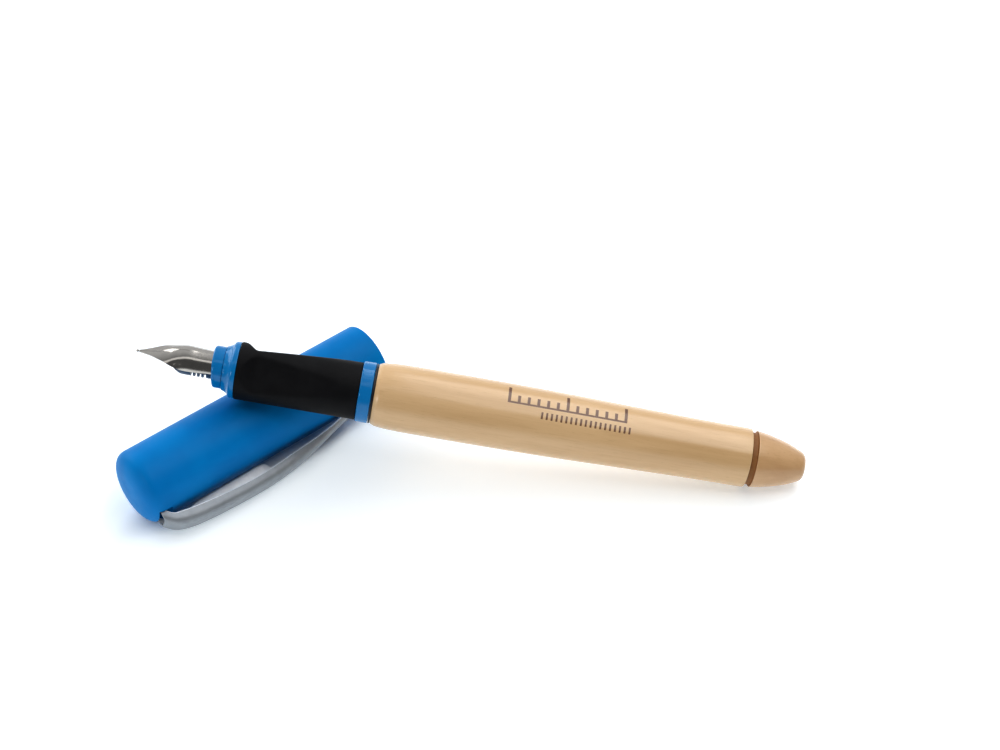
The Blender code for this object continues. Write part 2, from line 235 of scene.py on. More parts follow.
def curve_through(knots, per_span=8):
    """Smooth curve through knots of any dimension, by Catmull-Rom spans."""
    spots = [Vector(k) for k in knots]
    spots = [spots[0] * 2 - spots[1]] + spots + [spots[-1] * 2 - spots[-2]]
    made = []
    for i in range(1, len(spots) - 2):
        before, here, there, after = spots[i - 1:i + 3]
        for step in range(per_span):
            t = step / per_span
            pull_in = (there - before) * 0.5
            pull_out = (after - here) * 0.5
            made.append(
                here * (2 * t**3 - 3 * t**2 + 1) + pull_in * (t**3 - 2 * t**2 + t)
                + there * (3 * t**2 - 2 * t**3) + pull_out * (t**3 - t**2)
            )
    made.append(spots[-2])
    return [tuple(spot) for spot in made]


def turned(name, stations, segments, place, body, made_of, nodes, sharp=35.0):
    """Turn stations (s, r) about the axis; r may be a function of (theta, s).

    Stations that begin and end on the axis (r = 0) make a solid; any others close into a ring.
    """
    points = []
    rings = []
    for s, r in stations:
        if not callable(r) and r <= 1e-6:
            rings.append([len(points)])
            points.append((s, 0.0, 0.0))
            continue
        rings.append(list(range(len(points), len(points) + segments)))
        for step in range(segments):
            theta = math.tau * step / segments
            reach = r(theta, s) if callable(r) else r
            points.append((s, -reach * math.sin(theta), reach * math.cos(theta)))
    following = rings[1:] + rings[:1] if len(rings[0]) > 1 else rings[1:]
    faces = []
    for first, second in zip(rings, following):
        for step in range(segments):
            after = (step + 1) % segments
            if len(first) == 1:
                faces.append((first[0], second[step], second[after]))
            elif len(second) == 1:
                faces.append((first[step], first[after], second[0]))
            else:
                faces.append((first[step], first[after], second[after], second[step]))
    return piece(name, points, faces, place, body, made_of, nodes, sharp)


def lofted(name, sections, place, body, made_of, nodes, sharp):
    """Skin closed sections that have equal numbers of points, with flat ends."""
    count = len(sections[0])
    points = [p for section in sections for p in section]
    faces = [tuple(range(count)), tuple(range(len(points) - count, len(points)))]
    for row in range(len(sections) - 1):
        for step in range(count):
            after = (step + 1) % count
            low, high = row * count, (row + 1) * count
            faces.append((low + step, low + after, high + after, high + step))
    return piece(name, points, faces, place, body, made_of, nodes, sharp)


def value_at(knots, s):
    """Height at s of a smooth curve through knots (s, height), level beyond its ends."""
    if s <= knots[0][0]:
        return knots[0][1]
    if s >= knots[-1][0]:
        return knots[-1][1]
    slopes = [(b[1] - a[1]) / (b[0] - a[0]) for a, b in zip(knots, knots[1:])]
    i = max(j for j, knot in enumerate(knots) if knot[0] <= s)
    lean = [
        slopes[i] if i == 0 else (slopes[i - 1] + slopes[i]) / 2.0,
        slopes[i] if i + 1 == len(slopes) else (slopes[i] + slopes[i + 1]) / 2.0,
    ]
    span = knots[i + 1][0] - knots[i][0]
    t = (s - knots[i][0]) / span
    return (
        knots[i][1] * (2 * t**3 - 3 * t**2 + 1) + lean[0] * span * (t**3 - 2 * t**2 + t)
        + knots[i + 1][1] * (3 * t**2 - 2 * t**3) + lean[1] * span * (t**3 - t**2)
    )


def smooth_step(value, start, end):
    t = min(max((value - start) / (end - start), 0.0), 1.0)
    return t * t * (3.0 - 2.0 * t)


# ---------------------------------------------------------------- materials

class Nodes:
    """Short hand for building a material's nodes."""

    def __init__(self, name):
        self.material = bpy.data.materials.new(name)
        self.material.use_nodes = True
        self.tree = self.material.node_tree
        self.shader = self.tree.nodes["Principled BSDF"]

    def add(self, kind, inputs=(), **settings):
        node = self.tree.nodes.new(kind)
        for key, value in settings.items():
            setattr(node, key, value)
        for key, value in dict(inputs).items():
            self.put(node, key, value)
        return node

    def put(self, node, key, value):
        if isinstance(value, bpy.types.NodeSocket):
            self.tree.links.new(value, node.inputs[key])
        else:
            node.inputs[key].default_value = value

    def set(self, **values):
        for key, value in values.items():
            self.put(self.shader, key.replace("_", " "), value)

    def math(self, operation, a, b=0.0, clamp=False):
        return self.add("ShaderNodeMath", {0: a, 1: b}, operation=operation, use_clamp=clamp).outputs[0]

    def noise(self, where, detail=3.0, roughness=0.5):
        inputs = {"Vector": where, "Scale": 1.0, "Detail": detail, "Roughness": roughness}
        return self.add("ShaderNodeTexNoise", inputs).outputs["Fac"]

    def mapped(self, place, stretch=(1.0, 1.0, 1.0)):
        """Coordinates in mm in an axis frame, stretched along its axes."""
        turn = place.to_3x3().inverted()
        local = self.add("ShaderNodeTexCoord").outputs["Object"]
        moved = self.add("ShaderNodeMapping", {"Vector": local})
        moved.inputs["Rotation"].default_value = turn.to_euler()
        moved.inputs["Location"].default_value = -(turn @ place.translation)
        scaled = self.add("ShaderNodeMapping", {"Vector": moved.outputs[0]})
        scaled.inputs["Scale"].default_value = [s / MM for s in stretch]
        return scaled.outputs[0]

    def mix(self, factor, a, b):
        node = self.add("ShaderNodeMix", data_type="RGBA")
        for key, value in ((0, factor), (6, a), (7, b)):
            self.put(node, key, value)
        return node.outputs[2]

    def ramp(self, factor, low, high, start=0.0, end=1.0):
        """A value that goes smoothly from low to high as factor goes from start to end."""
        node = self.add("ShaderNodeMapRange", {0: factor, 1: start, 2: end, 3: low, 4: high})
        node.interpolation_type = "SMOOTHSTEP"
        return node.outputs[0]

    def bump(self, height, distance, strength=1.0):
        made = self.add("ShaderNodeBump", {"Height": height, "Distance": distance * MM, "Strength": strength})
        self.put(self.shader, "Normal", made.outputs[0])


def colour(r, g, b):
    return (r, g, b, 1.0)


def burnt_scale(n, where):
    """Mask of two burnt-in rows of plain ticks, as on a ruler, on the side of the barrel."""
    barrel_r = 6.6
    start, length = 38.5, 24.0
    base, base_end = 1.75, 2.15
    short_top, extra = 0.2, 2.1
    s, y, z = n.add("ShaderNodeSeparateXYZ", {0: where}).outputs
    around = n.math("MULTIPLY", n.math("ARCTAN2", y, z), barrel_r)
    along = n.math("SUBTRACT", s, start)

    def both(a, b):
        return n.math("MULTIPLY", a, b)

    def between(value, low, high):
        return both(n.math("GREATER_THAN", value, low), n.math("LESS_THAN", value, high))

    stroke = n.math("LESS_THAN", n.math("PINGPONG", along, 1.0), 0.3)
    number = n.math("ROUND", n.math("DIVIDE", along, 2.0))
    tall = n.math("LESS_THAN", n.math("PINGPONG", number, 3.0), 0.5)
    top = n.math("SUBTRACT", short_top, n.math("MULTIPLY", tall, extra))
    ticks = both(stroke, between(around, top, base))
    row = n.math("ADD", ticks, between(around, base, base_end), True)
    upper = both(row, between(along, -0.3, length + 0.3))
    fine = n.math("LESS_THAN", n.math("PINGPONG", along, 0.5), 0.2)
    lower = both(both(fine, between(around, 3.0, 4.4)), between(along, -1.3, 17.3))
    return n.math("ADD", upper, lower, True)


def maple(name, light, dark, marked):
    """Oiled maple: broad tone, fibres and pores along the grain, and the burnt scale if marked."""
    n = Nodes(name)
    broad = n.noise(n.mapped(PEN, (0.03, 0.32, 0.32)), 3.0, 0.5)
    fibre = n.noise(n.mapped(PEN, (0.18, 3.2, 3.2)), 4.0, 0.65)
    fleck = n.noise(n.mapped(PEN, (0.6, 7.0, 7.0)), 2.0, 0.5)
    tone = n.mix(n.ramp(broad, 0.0, 1.0, 0.3, 0.72), light, dark)
    streak = n.ramp(fibre, 0.0, 0.32, 0.48, 0.78)
    tone = n.mix(streak, tone, colour(dark[0] * 0.82, dark[1] * 0.76, dark[2] * 0.68))
    pores = n.ramp(fleck, 0.0, 0.3, 0.64, 0.76)
    tone = n.mix(pores, tone, colour(dark[0] * 0.62, dark[1] * 0.55, dark[2] * 0.45))
    height = n.math("SUBTRACT", 1.0, n.math("MULTIPLY", pores, 0.6))
    if marked:
        burnt = burnt_scale(n, n.mapped(PEN))
        mottle = n.noise(n.mapped(PEN, (2.5, 2.5, 2.5)))
        char = n.mix(mottle, colour(0.10, 0.032, 0.006), colour(0.18, 0.065, 0.015))
        tone = n.mix(burnt, tone, char)
        height = n.math("SUBTRACT", height, n.math("MULTIPLY", burnt, 3.0))
    n.set(Base_Color=tone, Roughness=n.ramp(fibre, 0.36, 0.48), IOR=1.45)
    n.set(Coat_Weight=0.85, Coat_Roughness=0.2)
    n.bump(height, 0.02, 0.35)
    return n.material


def burnt_wood():
    """The scorched groove at the tail."""
    n = Nodes("burnt_groove")
    mottle = n.noise(n.mapped(PEN, (1.6, 1.6, 1.6)))
    tone = n.mix(mottle, colour(0.24, 0.095, 0.022), colour(0.37, 0.165, 0.045))
    n.set(Base_Color=tone, Roughness=0.6)
    n.bump(n.noise(n.mapped(PEN, (4.0, 8.0, 8.0))), 0.03, 0.4)
    return n.material


def moulded_plastic(name, place, base, roughness, haze, specular=0.5, grain=0.01):
    """Injection-moulded plastic: faint colour clouding, handling haze and a very fine surface."""
    n = Nodes(name)
    clouds = n.noise(n.mapped(place, (0.12, 0.12, 0.12)), 2.0)
    wear = n.noise(n.mapped(place, (0.7, 0.7, 0.7)), 5.0, 0.6)
    skin = n.noise(n.mapped(place, (14.0, 14.0, 14.0)), 2.0)
    darker = colour(base[0] * 0.86, base[1] * 0.88, base[2] * 0.92)
    n.set(Base_Color=n.mix(n.ramp(clouds, 0.0, 1.0, 0.3, 0.7), colour(*base), darker))
    n.set(Roughness=n.ramp(wear, roughness, roughness + haze, 0.35, 0.75), Specular_IOR_Level=specular)
    n.bump(skin, grain, 0.3)
    return n.material


def grip_rubber():
    """Dull black rubber with a slight bloom."""
    n = Nodes("grip_rubber")
    skin = n.noise(n.mapped(PEN, (6.0, 6.0, 6.0)), 3.0, 0.6)
    bloom = n.noise(n.mapped(PEN, (0.25, 0.25, 0.25)), 3.0)
    tone = n.mix(n.ramp(bloom, 0.0, 1.0, 0.35, 0.7), colour(0.003, 0.003, 0.004), colour(0.006, 0.006, 0.007))
    n.set(Base_Color=tone, Roughness=n.ramp(skin, 0.5, 0.62), Specular_IOR_Level=0.15)
    n.bump(skin, 0.02, 0.35)
    return n.material


def drawn_steel(name, place, tint, roughness, spread, lines, metallic=1.0):
    """Steel with fine polishing lines along its length; with little metallic it is a pale satin."""
    n = Nodes(name)
    scratch = n.noise(n.mapped(place, lines), 4.0, 0.7)
    cloud = n.noise(n.mapped(place, (0.5, 0.5, 0.5)), 3.0)
    darker = colour(tint[0] * 0.85, tint[1] * 0.85, tint[2] * 0.86)
    n.set(Base_Color=n.mix(n.ramp(cloud, 0.0, 0.6, 0.3, 0.7), colour(*tint), darker), Metallic=metallic)
    n.set(Roughness=n.ramp(scratch, roughness, roughness + spread, 0.3, 0.7))
    n.bump(scratch, 0.004, 0.35)
    return n.material


def make_materials():
    made = {}
    made["maple"] = maple("maple", colour(0.74, 0.50, 0.265), colour(0.65, 0.42, 0.205), True)
    made["tail"] = maple("maple_tail", colour(0.68, 0.43, 0.22), colour(0.57, 0.335, 0.155), False)
    made["burnt"] = burnt_wood()
    made["blue_pen"] = moulded_plastic("blue_plastic_pen", PEN, (0.002, 0.215, 0.52), 0.1, 0.05, 0.45)
    cap_blue = (0.0003, 0.245, 0.615)
    made["blue_cap"] = moulded_plastic("blue_plastic_cap", CAP, cap_blue, 0.38, 0.08, 0.08, 0.003)
    made["black"] = moulded_plastic("black_plastic", PEN, (0.014, 0.014, 0.016), 0.35, 0.15)
    made["black_cap"] = moulded_plastic("inner_cap_plastic", CAP, (0.02, 0.02, 0.022), 0.4, 0.15)
    made["rubber"] = grip_rubber()
    made["feed"] = moulded_plastic("feed_plastic", PEN, (0.055, 0.085, 0.13), 0.3, 0.15)
    made["nib"] = drawn_steel("nib_steel", PEN, (0.54, 0.515, 0.475), 0.1, 0.06, (0.4, 9.0, 9.0))
    clip_lines = (0.3, 5.0, 5.0)
    made["clip"] = drawn_steel("clip_steel", CAP, (0.42, 0.445, 0.47), 0.6, 0.04, clip_lines)
    # painted highlight: near-white satin for the clip's lips and the inside of its far side (the tongue)
    rim = (0.95, 0.97, 0.98)
    made["clip_edge"] = drawn_steel("clip_edge_steel", CAP, rim, 0.35, 0.06, clip_lines, 0.1)
    made["ink"] = moulded_plastic("ink_plastic", PEN, (0.012, 0.04, 0.26), 0.15, 0.1)
    return made


# ---------------------------------------------------------------- pen pieces

def scorch(obj, mats, is_burnt):
    """Burnt wood on the faces whose middle (place along the pen, distance from its axis) is burnt."""
    obj.data.materials.append(mats["burnt"])
    inverse = PEN.inverted()
    for face in obj.data.polygons:
        middle = inverse @ face.center / MM
        if is_burnt(middle.x, math.hypot(middle.y, middle.z)):
            face.material_index = 1


def make_tail_plug(mats):
    tip = -0.2
    nose = curve_through([
        (tip, 0.05), (-0.1, 1.6), (0.45, 2.8), (2.1, 3.65), (4.3, 4.5), (6.9, 5.2), (8.8, 5.6), (10.2, 5.8),
    ])
    nose[0] = (tip, 0.0)
    groove = filleted([
        nose[-1] + (0,), (GROOVE_START, 5.86, 0.15), (GROOVE_START + 0.15, GROOVE_R, 0.2),
        (PLUG_END - 0.02, GROOVE_R, 0.1), (PLUG_END, SPIGOT_R, 0),
    ])
    spigot = [(SPIGOT_END, SPIGOT_R), (SPIGOT_END, 0.0)]
    plug = turned("barrel_end_plug_fine", nose + groove[1:] + spigot, SEGMENTS, PEN, "pen_barrel",
                  mats["tail"], ["barrel_end_plug"])
    scorch(plug, mats, lambda s, r: GROOVE_START + 0.02 < s < PLUG_END + 0.2 and r > SPIGOT_R - 0.1)
    return plug


def make_barrel(mats):
    rear = PLUG_END + GAP
    long_side = curve_through([
        (13.5, 6.12), (22.0, 6.16), (37.0, 6.44), (50.0, 6.71), (62.0, 6.85), (75.0, 6.88), (83.0, 6.86),
        (86.5, 6.75),
    ])
    ends = filleted([(rear, BORE_R, 0), (rear, 6.05, 0.16), long_side[0] + (0,)])
    mouth = filleted([
        long_side[-1] + (0,), (88.6, 6.52, 1.5), (BARREL_END, 6.12, 0.3), (BARREL_END, BUSH_SEAT_R, 0),
    ])
    seat_end = BUSH_START - 0.3
    inside = [(BARREL_END, BUSH_SEAT_R), (seat_end, BUSH_SEAT_R), (seat_end, BORE_R), (rear, BORE_R)]
    outline = ends[1:-1] + long_side + mouth[1:-1] + inside
    barrel = turned("barrel_fine", outline, SEGMENTS, PEN, "pen_barrel", mats["maple"], ["barrel"])
    scorch(barrel, mats, lambda s, r: s < rear + 0.06)
    return barrel


def thread_rows(span, root_r, fade):
    """Rounded right-hand thread, as in the frame, with finer rows."""
    first, last = span
    run_out = THREAD_PITCH / 2.0
    count = round((last - first) / THREAD_PITCH * THREAD_ROWS_PER_TURN)

    def radius(theta, s):
        height = THREAD_DEPTH
        if fade:
            height *= smooth_step(s, first, first + run_out) * (1.0 - smooth_step(s, last - run_out, last))
        return root_r + height * (0.5 + 0.5 * math.cos(math.tau * s / THREAD_PITCH - theta))

    return [(first + (last - first) * row / count, radius) for row in range(count + 1)]


def make_bush(mats):
    bush_r = BUSH_SEAT_R - GAP
    lip = BARREL_END + GAP
    outside = filleted([
        (BUSH_START, THREAD_RELIEF_R, 0), (BUSH_START, bush_r, 0.2), (lip, bush_r, 0),
        (lip, BUSH_LIP_R, 0.08), (BUSH_END, BUSH_LIP_R, 0.08), (BUSH_END, THREAD_RELIEF_R, 0),
    ])
    thread = thread_rows((80.75, 87.5), FEMALE_THREAD_ROOT_R, False)[::-1]
    inside = [(87.8, THREAD_RELIEF_R)] + thread + [(80.45, THREAD_RELIEF_R)]
    return turned("barrel_bush_fine", outside + inside, BUSH_SEGMENTS, PEN, "pen_barrel",
                  mats["black"], ["barrel_bush"])


def make_collar(mats):
    loop = filleted([
        (COLLAR_START, THREAD_RELIEF_R, 0), (COLLAR_START, COLLAR_R, 0.22), (COLLAR_END, COLLAR_R, 0.22),
        (COLLAR_END, THREAD_RELIEF_R, 0),
    ])
    return turned("trim_collar_fine", loop, SEGMENTS, PEN, "collar", mats["blue_pen"],
                  ["trim_collar"])


def make_section_core(mats):
    core_r, wide_bore_r, bore_r, front_bore_r = 4.1, 3.75, 3.2, 4.0
    flange, flange_end = GRIP_END + GAP, 120.3
    rim = filleted([(80.0, wide_bore_r, 0), (80.0, 4.0, 0.1), (80.5, MALE_THREAD_ROOT_R, 0)])
    spigot = [(80.0, wide_bore_r)] + rim[1:]
    thread = thread_rows((81.0, 87.0), MALE_THREAD_ROOT_R, True)
    neck = [(87.6, MALE_THREAD_ROOT_R), (88.0, 4.5), (100.4, 4.5), (100.8, core_r), (flange, core_r)]
    fillet = curve_through([
        (118.45, FLANGE_R), (118.75, 5.6), (119.05, 5.2), (119.6, 4.8), (flange_end, 4.5),
    ], 4)
    step = filleted([(flange, core_r, 0), (flange, FLANGE_R, 0.12), (118.2, FLANGE_R, 0)])
    front = step[1:] + fillet + [(flange_end, front_bore_r)]
    inside = [(117.0, front_bore_r), (117.0, bore_r), (100.8, bore_r), (100.3, wide_bore_r)]
    return turned("section_core_fine", spigot + thread + neck + front + inside, SEGMENTS, PEN, "section",
                  mats["blue_pen"], ["section_core"])


def grip_radius(theta, s):
    """Round grip with two soft-edged flats for thumb and forefinger."""
    ramp = min(max((s - FINGER_FLAT_START) / (FINGER_FLAT_DEEPEST - FINGER_FLAT_START), 0.0), 1.0)
    depth = FINGER_FLAT_DEPTH * ramp**1.08 * (1.0 - smooth_step(s, FINGER_FLAT_DEEPEST + 0.1, 116.9))
    flat = GRIP_R - depth
    radius = GRIP_R
    soft = 0.16 + 0.25 * (depth / FINGER_FLAT_DEPTH)
    for side in (-1, 1):
        facing = math.cos(theta - side * math.radians(FINGER_FLAT_ANGLE))
        if facing > 0.15:
            cut = flat / facing
            blend = max(soft - abs(radius - cut), 0.0) / soft
            radius = min(radius, cut) - blend * blend * soft * 0.25
    return radius


def make_grip(mats):
    rear_bore_r, front_bore_r = 4.6, 4.2
    start, end = GRIP_START + 0.5, 117.15
    rear = filleted([(GRIP_START, rear_bore_r, 0), (GRIP_START, GRIP_R, 0.12), (start, GRIP_R, 0)])[:-1]
    rows = 96
    flats = [(start + (end - start) * row / rows, grip_radius) for row in range(rows + 1)]
    front = filleted([(end, GRIP_R, 0), (GRIP_END, GRIP_R, 0.2), (GRIP_END, front_bore_r, 0)])[1:]
    inside = [(100.9, front_bore_r), (100.5, rear_bore_r)]
    return turned("grip_sleeve_fine", rear + flats + front + inside, GRIP_SEGMENTS, PEN, "section",
                  mats["rubber"], ["grip_sleeve"], 50.0)


def make_nib_housing(mats):
    body_r, front_r, ring_bore_r, core_bore_r = 3.1, 3.9, 3.42, 2.0
    pin_r, pin_bore_r = 1.1, 0.5
    pin_start, pin_end, floor, shoulder, ring_floor = 99.5, 108.0, 108.8, 117.15, 117.5
    tube = filleted([
        (floor, pin_bore_r, 0), (pin_start, pin_bore_r, 0), (pin_start, 0.85, 0.1), (100.2, pin_r, 0.3),
        (pin_end, pin_r, 0), (pin_end, body_r, 0.15), (shoulder, body_r, 0),
    ])
    front = filleted([
        (shoulder, body_r, 0), (shoulder, front_r, 0.1), (RING_START, front_r, 0), (RING_START, RING_R, 0.1),
        (RING_END, RING_R, 0.75), (RING_END, ring_bore_r, 0.1), (ring_floor, ring_bore_r, 0),
    ])
    inside = [(ring_floor, core_bore_r), (floor, core_bore_r)]
    housing = turned("nib_housing_fine", tube + front[1:] + inside, SEGMENTS, PEN, "nib_unit",
                     mats["blue_pen"], ["nib_housing"])
    slant_mouth(housing)
    return housing


def slant_mouth(housing):
    """Lean the ring's front face back below the nib."""
    lean = 0.7
    inverse = PEN.inverted()
    for spot in housing.data.vertices:
        local = inverse @ spot.co / MM
        share = smooth_step(local.x, RING_START + 0.4, RING_END)
        drop = 0.5 - 0.5 * local.z / max(math.hypot(local.y, local.z), 1e-6)
        local.x -= lean * share * drop
        spot.co = PEN @ (local * MM)


def feed_section(s, top_r, low_r, floor_z):
    """Round section cut flat at floor_z, its lower half of another radius."""
    steps = 40
    start = math.asin(max(min(floor_z / low_r, 0.99), -0.99))
    section = []
    for step in range(steps + 1):
        a = start + (math.pi - 2.0 * start) * step / steps
        share = smooth_step(math.sin(a), -0.05, 0.12)
        r = low_r + (top_r - low_r) * share
        section.append((s, r * math.cos(a), r * math.sin(a)))
    return section


def make_feed(mats):
    rod_r, feed_r, slot_r = 1.85, 2.7, 2.05
    full = (feed_r, feed_r, -2.5)
    slot = (feed_r, slot_r, -1.9)
    rod = [(s, rod_r, rod_r, -1.8) for s in (109.2, GRIP_END + GAP)] + [(117.8, *full), (123.6, *full)]
    fins = []
    for count in range(4):
        start = 123.75 + count * 0.86
        fins += [(start, *slot), (start + 0.42, *slot), (start + 0.46, *full), (start + 0.82, *full)]
    nose = curve_through([
        (127.3, *full), (127.9, feed_r, feed_r, -2.45), (128.7, 2.65, 2.65, -1.9), (129.6, 2.5, 2.5, -0.8),
        (130.5, 2.3, 2.3, 0.2), (131.2, 2.0, 2.0, 0.9),
    ], 4)
    return lofted("feed_fine", [feed_section(*row) for row in rod + fins + nose], PEN, "nib_and_feed",
                  mats["feed"], ["feed"], 30.0)


def nib_section(s, top, radius, half_width):
    """Curved strip: the outer arc from edge to edge, then the inner arc back."""
    steps = 36
    spread = math.asin(min(half_width / radius, 0.995))
    angles = [spread * (2.0 * step / steps - 1.0) for step in range(steps + 1)]
    outer = [(s, radius * math.sin(a), top - radius + radius * math.cos(a)) for a in angles]
    bent = radius - NIB_THICKNESS
    inner = [(s, bent * math.sin(a), top - radius + bent * math.cos(a)) for a in reversed(angles)]
    return outer + inner


def cut_away(obj, cutter, sharp):
    """Subtract a closed mesh from obj, apply the result and shade it again."""
    cut = obj.modifiers.new("cut", "BOOLEAN")
    cut.operation = "DIFFERENCE"
    cut.solver = "EXACT"
    cut.object = cutter
    evaluated = obj.evaluated_get(bpy.context.evaluated_depsgraph_get())
    mesh = bpy.data.meshes.new_from_object(evaluated)
    old = obj.data
    obj.modifiers.clear()
    obj.data = mesh
    bpy.data.meshes.remove(old)
    bpy.data.objects.remove(cutter, do_unlink=True)
    mesh.set_sharp_from_angle(angle=math.radians(sharp))
    obj.modifiers.new("even_shading", "WEIGHTED_NORMAL").keep_sharp = True


def cutting_box(low, high, place):
    """A plain closed box for cutting, in mm in an axis frame."""
    points = [(x, y, z) for x in (low[0], high[0]) for y in (low[1], high[1]) for z in (low[2], high[2])]
    faces = [(0, 1, 3, 2), (4, 6, 7, 5), (0, 4, 5, 1), (2, 3, 7, 6), (0, 2, 6, 4), (1, 5, 7, 3)]
    mesh = bpy.data.meshes.new("cutter")
    work = bmesh.new()
    spots = [work.verts.new(p) for p in points]
    for face in faces:
        work.faces.new([spots[i] for i in face])
    bmesh.ops.recalc_face_normals(work, faces=work.faces)
    work.to_mesh(mesh)
    work.free()
    mesh.transform(place @ Matrix.Scale(MM, 4))
    obj = bpy.data.objects.new("cutter", mesh)
    bpy.context.collection.objects.link(obj)
    return obj


def make_nib(mats):
    """Pressed nib, its sections given as (s, top height, arc radius, half width), with the slit."""
    shape = [
        (117.8, 3.05, 3.25, 3.1), (120.5, 3.05, 3.25, 3.11), (123.1, 3.05, 3.25, 3.12),
        (125.5, 3.15, 3.4, 3.29), (128.0, 3.3, 3.5, 3.4), (129.5, 3.03, 3.6, 3.33), (130.7, 2.63, 3.9, 3.13),
        (131.7, 2.22, 4.6, 2.83), (132.8, 1.84, 5.2, 2.28), (134.0, 1.52, 5.5, 1.72),
        (135.2, 1.245, 5.5, 1.13), (136.6, 0.98, 4.5, 0.6), (NIB_END, 0.8, 3.0, 0.25),
    ]
    sharp = 40.0
    slit_start, half_slit = 127.6, 0.035
    nib = lofted("nib_fine", [nib_section(*row) for row in curve_through(shape, 7)], PEN, "nib_and_feed",
                 mats["nib"], ["nib"], sharp)
    slit = cutting_box((slit_start, -half_slit, -1.0), (NIB_END + 1.25, half_slit, 6.0), PEN)
    cut_away(nib, slit, sharp)
    return nib


def make_tipping(mats):
    centre = NIB_END + TIPPING_R + 0.05
    steps = 16
    angles = [math.pi * i / steps for i in range(1, steps)]
    arc = [(centre - TIPPING_R * math.cos(a), TIPPING_R * math.sin(a)) for a in angles]
    ball = [(centre - TIPPING_R, 0.0)] + arc + [(centre + TIPPING_R, 0.0)]
    raised = PEN @ Matrix.Translation((0, 0, TIPPING_HEIGHT * MM))
    return turned("nib_tipping_fine", ball, TIPPING_SEGMENTS, raised, "nib_and_feed",
                  mats["nib"], ["nib_tipping"])


# ---------------------------------------------------------------- cap pieces

def closed_end():
    """The cap's closed end, from its flat middle round to the side, as a squarish dome."""
    steps = 22
    fullness = 2.6
    depth = 3.6
    flat_share = 0.24
    dome = []
    for step in range(1, steps + 1):
        share = math.sin(math.pi / 2 * (flat_share + (1.0 - flat_share) * step / steps))
        fall = 1.0 - max(1.0 - share**fullness, 0.0) ** (1.0 / fullness)
        dome.append((depth * fall - CAP_END_BULGE, CAP_R * share))
    return [(-CAP_END_BULGE, 0.0), (-CAP_END_BULGE, 1.5)] + dome


def make_cap_shell(mats):
    seat = 31.0
    mouth = filleted([
        (30.0, 7.93, 0), (CAP_LENGTH, 7.85, 0.35), (CAP_LENGTH, 7.0, 0.25), (45.0, 6.9, 0),
        (seat, CAP_INNER_R, 0),
    ], 10)
    floor = filleted([(seat, CAP_INNER_R, 0), (CAP_FLOOR, CAP_INNER_R, 0.4), (CAP_FLOOR, 0.0, 0)])
    outline = closed_end() + mouth + floor[1:]
    shell = turned("cap_shell_fine", outline, CAP_SEGMENTS, CAP, "cap", mats["blue_cap"],
                   ["cap_shell"])
    notch = cutting_box((NOTCH_START, -NOTCH_HALF_WIDTH, 6.0), (NOTCH_END, NOTCH_HALF_WIDTH, 9.5), CAP)
    cut_away(shell, notch, 35.0)
    return shell


def make_inner_cap(mats):
    start, end, bore_r = 4.2, 30.2, 5.0
    outline = filleted([
        (start, 0.0, 0), (start, INNER_CAP_R, 0.5), (end, INNER_CAP_R, 0.3), (end, 5.2, 0.2),
        (28.0, bore_r, 0), (5.4, bore_r, 0.4), (5.4, 0.0, 0),
    ])
    return turned("inner_cap_fine", outline, SEGMENTS, CAP, "cap", mats["black_cap"],
                  ["inner_cap"])


def clip_section(s):
    """Channel open towards the cap: rolled crown corners and a rounded lip on both edges.

    Its points run from the near lip over the crown to the far lip, then back along the inside.
    """
    crown = value_at(CLIP_CROWN, s)
    half = value_at(CLIP_HALF_WIDTH, s)
    lip = CLIP_WALL / 2
    turns = [math.pi / 2 * i / 7 for i in range(8)]
    roll = [math.pi * i / 6 for i in range(7)]
    outline = []
    channel = []
    for side, edge in ((1, value_at(CLIP_UPPER_EDGE, s)), (-1, value_at(CLIP_LOWER_EDGE, s))):
        bend = min(CLIP_BEND, (crown - edge) * 0.7, half * 0.8)
        tight = max(bend - CLIP_WALL, 0.1)
        outer_y, outer_z = half - bend, crown - bend
        inner_y, inner_z = half - CLIP_WALL - tight, crown - CLIP_WALL - tight
        rolled = [(half - lip - lip * math.cos(a), edge + lip - lip * math.sin(a)) for a in roll]
        outer = [(outer_y + bend * math.cos(a), outer_z + bend * math.sin(a)) for a in turns]
        inner = [(inner_y + tight * math.cos(a), inner_z + tight * math.sin(a)) for a in turns]
        outline.append([(side * y, z) for y, z in rolled + outer])
        channel.append([(side * y, z) for y, z in inner])
    near, far = outline
    near_in, far_in = channel
    return [(s, y, z) for y, z in near + far[::-1] + far_in + near_in[::-1]]


def make_clip(mats):
    """The clip, cut finely round its head and the tongue's end, with a painted highlight on its lips and
    tongue, which get a near-white satin.
    """
    cuts = [1.3 + 0.15 * i for i in range(20)] + [4.3 + 0.5 * i for i in range(44)]
    cuts += [26.1 + 0.12 * i for i in range(24)] + [29.0 + 0.6 * i for i in range(32)] + [CLIP_END]
    sections = [clip_section(s) for s in cuts]
    clip = lofted("pocket_clip_fine", sections, CAP, "clip", mats["clip"],
                  ["pocket_clip"], 50.0)
    clip.data.materials.append(mats["clip_edge"])
    count = len(sections[0])
    near_lip = set(range(7))
    far_lip_and_inside = set(range(23, 35))
    # painted highlight: the lips and the far side's inside take the near-white material
    for face in clip.data.polygons:
        places = {i % count for i in face.vertices}
        if len(places) == 2 and (places <= near_lip or places <= far_lip_and_inside):
            face.material_index = 1
    return clip


# ---------------------------------------------------------------- hidden pieces that stay as they are

def finish_hidden(mats):
    """The cartridge and its ball keep their CAD shapes and get their finish."""
    for name, made_of in (("ink_cartridge", mats["ink"]), ("cartridge_ball", mats["nib"])):
        obj = frame["nodes"][name]
        obj.data.materials.clear()
        obj.data.materials.append(made_of)


# ---------------------------------------------------------------- stage

